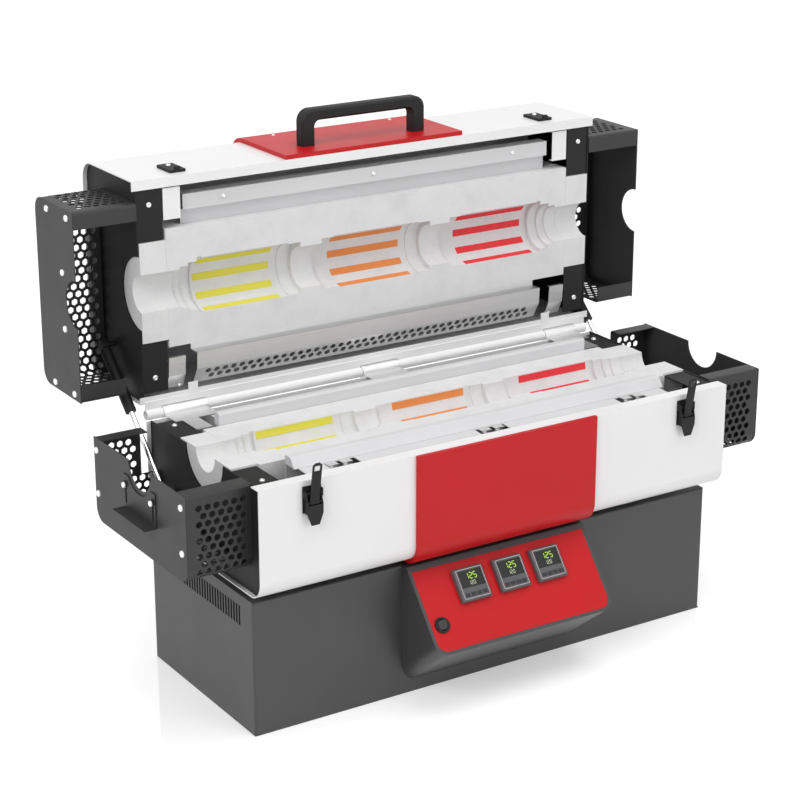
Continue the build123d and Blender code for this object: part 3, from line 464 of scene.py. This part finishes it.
# A figure's width and a segment's half width by its height, and the pitch by its width
figure_width = 0.5
segment_half = 0.055
figure_pitch = 1.55

# Displays: the figures, their left end and foot from the controller's middle, and their height
reading_figures, reading_x, reading_y, reading_height = "125", -0.0075, 0.0065, 0.0085
target_figures, target_x, target_y, target_height = "120", -0.0055, -0.0020, 0.0052


def figures(name, words, x, y, height, material):
    """Seven-segment figures: each lit segment is a thin bar lying on the window."""
    half = height / 2
    width = height * figure_width
    bar = height * segment_half
    bars = []
    for place, letter in enumerate(words):
        corner = x + place * width * figure_pitch
        for segment in lit[letter]:
            (x0, y0), (x1, y1) = segments[segment]
            start = np.array([corner + x0 * width, y + y0 * half])
            end = np.array([corner + x1 * width, y + y1 * half])
            run = (end - start) / np.linalg.norm(end - start)
            side = np.array([-run[1], run[0]]) * bar
            start = start + run * bar
            end = end - run * bar
            flat = np.array([[start - side, end - side], [start + side, end + side]])
            bars.append(on_console(flat[..., 0], flat[..., 1], window_z))
    return grid_mesh(name, np.array(bars), material, "furnace_base", smooth=False)


def frame_lines(name, centre):
    """Printed square line on a controller's front: four bars between its outer and inner edge."""
    outer, inner = frame_half, frame_half - frame_line
    spans = [
        (-outer, inner, outer, outer),
        (-outer, -outer, outer, -inner),
        (-outer, -outer, -inner, outer),
        (inner, -outer, outer, outer),
    ]
    bars = []
    for low_x, low_y, high_x, high_y in spans:
        flat_x = centre + np.array([[low_x, high_x], [low_x, high_x]])
        flat_y = controller_slope + np.array([[low_y, low_y], [high_y, high_y]])
        bars.append(on_console(flat_x, flat_y, front_z))
    return grid_mesh(name, np.array(bars), line_print, "furnace_base", smooth=False)


for place, centre in controller_x.items():
    figures(
        f"reading_{place}",
        reading_figures,
        centre + reading_x,
        controller_slope + reading_y,
        reading_height,
        digit_green,
    )
    figures(
        f"target_{place}",
        target_figures,
        centre + target_x,
        controller_slope + target_y,
        target_height,
        digit_pale,
    )
    frame_lines(f"frame_line_{place}", centre)


# Folded sheets: quads in sheet coordinates, u along the tube and s along the folded section
def folded_path(corners, radii, steps=8):
    """Path through corners that turn by a right angle, each rounded by its own radius.

    An arc point is centre + r (sin t before - cos t after), from one straight run to the next.
    """
    corners = np.asarray(corners, float)
    runs = np.diff(corners, axis=0)
    runs = runs / np.linalg.norm(runs, axis=1, keepdims=True)
    turn = np.linspace(0, np.pi / 2, steps)[:, None]
    stretches = [corners[:1]]
    for corner, before, after, radius in zip(corners[1:-1], runs[:-1], runs[1:], radii):
        centre = corner - radius * before + radius * after
        stretches.append(centre + radius * (before * np.sin(turn) - after * np.cos(turn)))
    stretches.append(corners[-1:])
    return np.concatenate(stretches)


def run_length(path):
    """Distance along a path at each of its points."""
    return np.concatenate([[0.0], np.cumsum(np.linalg.norm(np.diff(path, axis=0), axis=1))])


def plain_quads(u_edges, s_edges):
    """Quads of a plain stretch between edges along u and along s."""
    u0, s0 = np.meshgrid(u_edges[:-1], s_edges[:-1], indexing="ij")
    u1, s1 = np.meshgrid(u_edges[1:], s_edges[1:], indexing="ij")
    corners = [np.stack(pair, -1) for pair in ((u0, s1), (u1, s1), (u1, s0), (u0, s0))]
    return np.stack(corners, axis=-2).reshape(-1, 4, 2)


def holed_quads(u, s, step_u, step_s, radius, sides):
    """Quads between a cell's rectangle and the hole in its middle, for each cell centre.

    The rectangle's outline is cut into as many points as the hole has corners.
    """
    w, h = step_u / 2, step_s / 2
    if sides == 6:
        outer = np.array([(0, h), (w, h), (w, -h), (0, -h), (-w, -h), (-w, h)])
    else:
        quarter = [(0, h), (w / 2, h), (w, h), (w, h / 2)]
        half = quarter + [(w, 0), (w, -h / 2), (w, -h), (w / 2, -h)]
        outer = np.array(half + [(-x, -y) for x, y in half])
    angle = np.pi / 2 - np.arange(sides) * 2 * np.pi / sides
    inner = radius * np.stack([np.cos(angle), np.sin(angle)], axis=1)
    ring = np.stack([outer, np.roll(outer, -1, axis=0), np.roll(inner, -1, axis=0), inner], axis=1)
    centre = np.stack(np.broadcast_arrays(np.asarray(u, float), s), axis=-1)
    return (centre[:, None, None, :] + ring).reshape(-1, 4, 2)


def folded_sheet(name, half, quads, path, thickness, material, start=0.0, sign=1, flip=False):
    """Sheet of quads carried along a folded section and given its thickness inwards.

    u is counted outwards from the start, on the sign's side; s picks the point of the path
    at that length.
    """
    length = run_length(path)
    u, s = quads[..., 0], quads[..., 1]
    forward = np.interp(s, length, path[:, 0])
    depth = np.interp(s, length, path[:, 1])
    points = half_point(half, sign * (start + u), forward, depth)
    piece = joined_mesh(name, points, material, body_of_half[half], reach=0.00002, flip=flip)
    wall = piece.modifiers.new("wall", "SOLIDIFY")
    wall.thickness = thickness
    wall.offset = -1.0
    return piece


# Guards: staggered hexagonal holes over the walls and the bends, none on the flanges.
# Behind, near the parting face, the corner next to the body is cut away for the strut.
guard_rear, guard_front, near_depth, guard_depth = section_box("lower", "lower_guards")
guard_start = 0.3872
guard_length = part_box("lower_guards")[1].x - guard_start
guard_flange = 0.025
guard_thickness = 0.0015
near_bend, far_bend = 0.004, 0.020
hole_step, row_step, hole_corner = 0.013, 0.01125, 0.0051
hole_columns = 6
first_hole = 0.005
plain_margin = 0.036
cut_length, cut_rows, cut_columns = 0.026, 5, 2
flange_steps = 12
guard_path = folded_path(
    [
        (guard_front - guard_flange, near_depth),
        (guard_front, near_depth),
        (guard_front, guard_depth),
        (guard_rear, guard_depth),
        (guard_rear, near_depth),
        (guard_rear + guard_flange, near_depth),
    ],
    [near_bend, far_bend, far_bend, near_bend],
)


def guard_quads():
    """Quads of a guard: plain flanges, then rows of holes with a plain edge on both sides."""
    total = run_length(guard_path)[-1]
    rows = int((total - 2 * plain_margin) / row_step)
    start = (total - rows * row_step) / 2
    last = first_hole + hole_columns * hole_step
    columns = first_hole + np.arange(2 * hole_columns + 1) * hole_step / 2
    edges = np.concatenate([[0.0], columns, [guard_length]])
    cut_edges = np.concatenate([[cut_length], columns[columns >= cut_length], [guard_length]])
    quads = [
        plain_quads(edges, np.linspace(0.0, start, flange_steps)),
        plain_quads(cut_edges, np.linspace(total - start, total, flange_steps)),
    ]
    for row in range(rows):
        low = start + row * row_step
        row_edges = np.array([low, low + row_step])
        cut = row >= rows - cut_rows
        shift = row % 2
        first = cut_columns if cut else 0
        centres = first_hole + (np.arange(first, hole_columns - shift) + (1 + shift) / 2) * hole_step
        quads.append(holed_quads(centres, low + row_step / 2, hole_step, row_step, hole_corner, 6))
        near = cut_length if cut else 0.0
        before = centres[0] - hole_step / 2
        after = centres[-1] + hole_step / 2
        left = columns[(columns > near) & (columns < before + touch)]
        right = columns[(columns > after - touch) & (columns < last + touch)]
        quads.append(plain_quads(np.concatenate([[near], left]), row_edges))
        quads.append(plain_quads(np.concatenate([right, [guard_length]]), row_edges))
    return np.concatenate(quads)


for half in body_of_half:
    for side, sign in (("left", -1), ("right", 1)):
        guard = folded_sheet(
            f"{half}_perforated_guard_{side}",
            half,
            guard_quads(),
            guard_path,
            guard_thickness,
            charcoal,
            start=guard_start,
            sign=sign,
            flip=(half == "lower") == (sign < 0),
        )
        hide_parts(f"{half}_guards")

# Ceramic blocks: the chamber's radius up to each distance from the middle, the same to both ends
chamber_profile = [
    (0.073, 0.0395),
    (0.094, 0.038),
    (0.129, 0.031),
    (0.149, 0.038),
    (0.290, 0.0395),
    (0.297, 0.041),
    (0.312, 0.035),
    (0.324, 0.0306),
    (0.344, 0.0273),
]

# Heating strips: where they lie round the chamber and along it, and their section
strip_angles = np.radians([10.0, 50.0, 90.0, 130.0, 170.0])
strip_ranges = [(-0.285, -0.162), (-0.062, 0.061), (0.161, 0.285)]
strip_radius = 0.0390
strip_half_width = 0.0052
strip_thickness = 0.0015

# Thermocouple slits: short dark grey strips laid on the chamber wall beside the lowest strips of the lower
# chamber, painted shade standing in for the open slits
slit_centres = (-0.2235, 0.0, 0.2235)
slit_half_length = 0.02
slit_radius = 0.0393
slit_angles = np.radians([68.0, 70.0])


def chamber_ring(half, along, radius, angles):
    """Ring or arc r (cos t, sin t) about the tube axis, from the front over the depth to the rear."""
    return half_point(half, along, radius * np.cos(angles), near_depth + radius * np.sin(angles))


def quads_between(first, second):
    """Quads between two rows of points of equal length."""
    return np.stack([first[:-1], first[1:], second[1:], second[:-1]], axis=1)


def chamber_block(half, around=72):
    """Block with the half chamber: rings r (cos t, sin t), the flat top beside them and the outer box."""
    stations = [(0.0, chamber_profile[0][1])]
    start = 0.0
    for end, radius in chamber_profile:
        if start > 0:
            stations.append((start, radius))
        stations.append((end, radius))
        start = end
    stations = [(-x, r) for x, r in stations[::-1]] + stations[1:]
    t = np.linspace(0, np.pi, around + 1)
    rear, front, _, deepest = section_box(half, f"{half}_insulation")
    side = np.where(np.cos(t) > 0, front, -rear) / np.maximum(np.abs(np.cos(t)), least)
    reach = np.minimum(side, deepest / np.maximum(np.sin(t), least))
    quads = []
    rings = [chamber_ring(half, x, r, t) for x, r in stations]
    for (x0, r0), (x1, r1), ring, following in zip(stations[:-1], stations[1:], rings[:-1], rings[1:]):
        quads.append(quads_between(ring, following))
        if x1 > x0:
            for inner0, inner1, outer in ((r0, r1, front), (-r0, -r1, rear)):
                flat = half_point(half, [x0, x1, x1, x0], [inner0, inner1, outer, outer], near_depth)
                quads.append(flat[None])
    ends = []
    for (x, _), ring in ((stations[0], rings[0]), (stations[-1], rings[-1])):
        rim = chamber_ring(half, x, reach, t)
        quads.append(quads_between(ring, rim))
        ends.append(rim)
    quads.append(quads_between(ends[0], ends[1]))
    return np.concatenate(quads)


def heating_strips(half, around=4):
    """Strips lying in the chamber wall: a short arc of the wall with a thickness, closed at its ends."""
    quads = []
    spread = np.linspace(-1, 1, around + 1) * strip_half_width / strip_radius
    for angle in strip_angles:
        for start, end in strip_ranges:
            face0, face1, back0, back1 = [
                chamber_ring(half, x, r, angle + spread)
                for r in (strip_radius, strip_radius + strip_thickness)
                for x in (start, end)
            ]
            quads += [quads_between(face0, face1), quads_between(back1, back0)]
            quads += [quads_between(back0, face0), quads_between(face1, back1)]
            quads += [np.stack([face0[0], face1[0], back1[0], back0[0]])[None]]
            quads += [np.stack([face1[-1], face0[-1], back0[-1], back1[-1]])[None]]
    return np.concatenate(quads)


def ceramic_piece(name, quads, material, body):
    """Piece of quads joined where they meet, with its faces turned outwards."""
    return joined_mesh(name, quads, material, body, reach=0.00001, outwards=True)


for half, body in body_of_half.items():
    block = ceramic_piece(f"{half}_chamber_block", chamber_block(half), insulation, body)
    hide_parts(f"{half}_insulation")
    strips = ceramic_piece(f"{half}_heating_strips", heating_strips(half), strip_oxide, body)
    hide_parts(f"{half}_elements")

# No slits are cut into the block: thin dark grey strips lie on the wall there as painted shade
slit_shade_quads = []
for centre in slit_centres:
    low = chamber_ring("lower", centre - slit_half_length, slit_radius, slit_angles)
    high = chamber_ring("lower", centre + slit_half_length, slit_radius, slit_angles)
    slit_shade_quads.append(quads_between(low, high))
ceramic_piece("thermocouple_slits", np.concatenate(slit_shade_quads), grey_plastic, "furnace_base")

# Raised rails beside the lower chamber, which the lid's recesses take in when it closes:
# their sections, as (forward, depth), and how far they run from the middle
front_profile = [
    (0.0885, 0.0016),
    (0.0885, -0.0085),
    (0.0900, -0.0100),
    (0.0925, -0.0108),
    (0.1010, -0.0108),
    (0.1040, -0.0098),
    (0.1060, -0.0070),
    (0.1135, 0.0026),
]
rear_profile = [
    (-0.0980, 0.0018),
    (-0.0980, -0.0165),
    (-0.0880, -0.0172),
    (-0.0862, -0.0164),
    (-0.0850, -0.0140),
    (-0.0846, 0.0018),
]
front_run = 0.312
rear_run = 0.318


def rail(name, profile, run):
    """Solid rail: a closed profile carried along the tube, each end closed to the profile's middle."""
    profile = np.asarray(profile, float)
    middle = np.repeat(profile.mean(axis=0, keepdims=True), len(profile), axis=0)
    rows = [(-run, middle), (-run, profile), (run, profile), (run, middle)]
    points = np.stack([half_point("lower", x, shape[:, 0], shape[:, 1]) for x, shape in rows])
    return grid_mesh(name, points[None], liner_steel, "furnace_base", closed=True, smooth=False)


rail("front_rail", front_profile, front_run)
rail("rear_rail", rear_profile, rear_run)

# Lid liners: the recessed front flange and the folded strip with two staggered rows of vents
liner_thickness = 0.0012
vent_path = np.array(
    [
        (-0.0837, 0.026),
        (-0.0837, 0.0215),
        (-0.0990, 0.0215),
        (-0.0990, 0.002),
        (-0.124, 0.0035),
        (-0.149, 0.018),
    ]
)
vent_bend = 4
vent_half = 0.300
vent_pitch, vent_radius, vent_count = 0.01384, 0.0045, 41
vent_row_step = 0.0105
vent_margin = 0.0030
flange_path = np.array(
    [(0.0872, 0.030), (0.0872, 0.018), (0.109, 0.018), (0.109, 0.009), (0.131, 0.009), (0.131, 0.030)]
)
flange_half, flange_cells = 0.312, 6
flange_edges = np.linspace(-flange_half, flange_half, flange_cells + 1)


def vent_strip_quads():
    """Quads of the vent strip: plain folds, then two rows of vents after the last bend."""
    length = run_length(vent_path)
    start = length[vent_bend] + vent_margin
    columns = (np.arange(2 * vent_count + 2) - vent_count - 0.5) * vent_pitch / 2
    edges = np.concatenate([[-vent_half], columns, [vent_half]])
    quads = [
        plain_quads(edges, np.append(length[: vent_bend + 1], start)),
        plain_quads(edges, np.array([start + 2 * vent_row_step, length[-1]])),
    ]
    for row in (0, 1):
        low = start + row * vent_row_step
        row_edges = np.array([low, low + vent_row_step])
        centres = columns[0] + (np.arange(vent_count) * 2 + 1 + row) * vent_pitch / 2
        middle = low + vent_row_step / 2
        quads.append(holed_quads(centres, middle, vent_pitch, vent_row_step, vent_radius, 16))
        spare = columns[-2:] if row == 0 else columns[:2]
        quads.append(plain_quads(spare, row_edges))
        for outer in ([-vent_half, columns[0]], [columns[-1], vent_half]):
            quads.append(plain_quads(np.array(outer), row_edges))
    return np.concatenate(quads)


vent_strip = folded_sheet(
    "lid_vent_strip", "lid", vent_strip_quads(), vent_path, liner_thickness, vent_steel
)
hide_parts("lid_liners")
front_flange = folded_sheet(
    "lid_front_liner",
    "lid",
    plain_quads(flange_edges, run_length(flange_path)),
    flange_path,
    liner_thickness,
    liner_steel,
    flip=True,
)
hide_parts("lid_liners")

# Screws and rivets: how far out along the tube each kind sits, and its (forward, depth)
plate_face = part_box("lid_guard_plates")[1].x
plate_spots = {"lower": [(-0.132, 0.018), (-0.132, 0.082), (0.119, 0.018), (0.119, 0.082)]}
plate_spots["lid"] = plate_spots["lower"] + [(0.038, 0.039), (-0.043, 0.039)]
cover_along, cover_depth = 0.367, 0.0032
cover_spots = [(-0.125, cover_depth), (0.125, cover_depth)]
support_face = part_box("lower_guard_plates")[1].x
support_spots = [(-0.0405, 0.038), (0.0395, 0.038)]
keeper_along, keeper_depth, keeper_rise = 0.314, 0.045, 0.0042
band_along, band_forward, band_depth = 0.101, 0.1676, 0.1245
opening = {"lower": (0, 0, 1), "lid": (0, -1, 0)}
lid_top = (0, 0, 1)

# Notches of the lower liner: their middles along the tube; the lid liner's screws stand over them
notch_middles = {"left": -0.248, "middle": 0.0, "right": 0.248}
liner_screw_forward, liner_screw_depth = 0.121, 0.009


def both_ends(half, along, spots):
    """Places of the spots at both ends of a half, left ones first."""
    return [half_point(half, sign * along, *spot) for sign in (-1, 1) for spot in spots]


def end_normals(spots):
    """Directions out of both ends, one for each of the spots."""
    return [(sign, 0, 0) for sign in (-1, 1) for _ in spots]


for half, body in body_of_half.items():
    pan_heads(
        f"{half}_guard_screws",
        both_ends(half, plate_face, plate_spots[half]),
        end_normals(plate_spots[half]),
        head=0.0048,
        material=pale_screw,
        body=body,
    )
    pan_heads(
        f"{half}_cover_screws",
        both_ends(half, cover_along, cover_spots),
        opening[half],
        head=0.004,
        material=bright_steel,
        body=body,
    )
pan_heads(
    "lid_liner_screws",
    [half_point("lid", x, liner_screw_forward, liner_screw_depth) for x in notch_middles.values()],
    opening["lid"],
    head=0.0035,
    material=bright_steel,
    body="furnace_lid",
)
pan_heads(
    "keeper_screws",
    both_ends("lid", keeper_along, [(body_reach + keeper_rise, keeper_depth)]),
    lid_top,
    head=0.0035,
    material=bright_steel,
    body="furnace_lid",
)
pan_heads(
    "band_screws",
    both_ends("lid", band_along, [(band_forward, band_depth)]),
    lid_top,
    head=0.0026,
    material=bright_steel,
    body="furnace_lid",
)
pan_heads(
    "support_screws",
    both_ends("lower", support_face, support_spots),
    end_normals(support_spots),
    head=0.0042,
    material=pale_screw,
    body="furnace_base",
)

# Spring clips in the notches: two to a notch, each with a screw on its foot
clip_path = np.array([(0.115, 0.012), (0.115, 0.0025), (0.127, 0.0025), (0.127, 0.009), (0.1385, 0.009)])
clip_starts = {"near": -0.019, "far": 0.003}
clip_edges = np.array([0.0, 0.008, 0.016])
clip_screw_offset, clip_screw_forward, clip_screw_depth = 0.011, 0.133, 0.008
for place, centre in notch_middles.items():
    for end, low in clip_starts.items():
        folded_sheet(
            f"notch_clip_{place}_{end}",
            "lower",
            plain_quads(centre + low + clip_edges, run_length(clip_path)),
            clip_path,
            liner_thickness,
            bright_steel,
        )
clip_screw_places = [
    half_point("lower", centre + sign * clip_screw_offset, clip_screw_forward, clip_screw_depth)
    for centre in notch_middles.values()
    for sign in (-1, 1)
]
pan_heads(
    "notch_clip_screws",
    clip_screw_places,
    opening["lower"],
    head=0.0026,
    material=pale_screw,
    body="furnace_base",
)

# Lid ends: a white tab at each front corner and an upright at each rear one, with its rivet
end_edges = np.array([0.3185, 0.332, 0.345])
tab_path = np.array([(0.100, 0.010), (0.100, 0.003), (0.145, 0.003), (0.145, 0.010)])
upright_path = np.array([(-0.100, 0.008), (-0.100, 0.0015), (-0.128, 0.004), (-0.148, 0.014)])
rivet_along, rivet_spot, rivet_normal = 0.325, (-0.146, 0.0125), (0, -0.8, -0.6)
for side, sign in (("left", -1), ("right", 1)):
    edges = np.sort(sign * end_edges)
    folded_sheet(
        f"lid_corner_tab_{side}",
        "lid",
        plain_quads(edges, run_length(tab_path)),
        tab_path,
        liner_thickness,
        white_coat,
        flip=True,
    )
    folded_sheet(
        f"lid_end_upright_{side}",
        "lid",
        plain_quads(edges, run_length(upright_path)),
        upright_path,
        liner_thickness,
        vent_steel,
    )
pan_heads(
    "upright_rivets",
    both_ends("lid", rivet_along, [rivet_spot]),
    rivet_normal,
    head=0.003,
    material=pale_screw,
    body="furnace_lid",
)

# Floor, surroundings and light: the floor's reach and drop in metres, and the strengths
floor_reach = 30.0
floor_drop = 0.0004
floor_glow = 0.36
object_light = 0.55


def add_stage():
    """Pale glossy floor that shows white to the camera and keeps the furnace's shadow."""
    corners = [(x, y, -floor_drop) for y in (-floor_reach, floor_reach) for x in (-floor_reach, floor_reach)]
    mesh = bpy.data.meshes.new("floor")
    mesh.from_pydata(corners, [], [(0, 1, 3, 2)])
    floor = bpy.data.objects.new("floor", mesh)
    bpy.context.collection.objects.link(floor)
    material, tree, shader, _ = new_material("floor_white")
    shader.inputs["Base Color"].default_value = (0.86, 0.86, 0.86, 1.0)
    shader.inputs["Roughness"].default_value = 0.04
    shader.inputs["Specular IOR Level"].default_value = 1.0
    path = tree.nodes.new("ShaderNodeLightPath")
    seen = larger(tree, path.outputs["Is Camera Ray"], path.outputs["Is Glossy Ray"])
    glow = tree.nodes.new("ShaderNodeEmission")
    glow.inputs["Color"].default_value = (1.0, 1.0, 1.0, 1.0)
    tree.links.new(ranged(tree, seen, 0.0, floor_glow), glow.inputs["Strength"])
    both = tree.nodes.new("ShaderNodeAddShader")
    tree.links.new(shader.outputs["BSDF"], both.inputs[0])
    tree.links.new(glow.outputs["Emission"], both.inputs[1])
    tree.links.new(both.outputs["Shader"], tree.nodes["Material Output"].inputs["Surface"])
    mesh.materials.append(material)


def add_world():
    """White surroundings for the camera and for reflections, and a softer light on the object."""
    world = bpy.data.worlds.new("studio")
    bpy.context.scene.world = world
    world.use_nodes = True
    tree = world.node_tree
    background = tree.nodes["Background"]
    background.inputs["Color"].default_value = (1.0, 1.0, 1.0, 1.0)
    path = tree.nodes.new("ShaderNodeLightPath")
    seen = larger(tree, path.outputs["Is Camera Ray"], path.outputs["Is Glossy Ray"])
    seen = larger(tree, seen, path.outputs["Is Transmission Ray"])
    tree.links.new(ranged(tree, seen, object_light, 1.0), background.inputs["Strength"])


def add_lamp(name, place, size, power, target=(0.0, 0.0, 0.4)):
    """Soft square lamp that looks at a target, which is the middle of the furnace."""
    data = bpy.data.lights.new(name, "AREA")
    data.size = size
    data.energy = power
    lamp = bpy.data.objects.new(name, data)
    bpy.context.collection.objects.link(lamp)
    lamp.location = place
    lamp.rotation_euler = (Vector(target) - Vector(place)).to_track_quat("-Z", "Y").to_euler()


add_stage()
add_world()
add_lamp("key", (-3.2, -1.6, 3.0), size=2.2, power=70.0)
add_lamp("top", (0.6, -0.8, 4.0), size=2.5, power=55.0)
add_lamp("front", (1.2, -4.0, 1.6), size=2.0, power=30.0)

view = bpy.context.scene.view_settings
view.view_transform = "Standard"
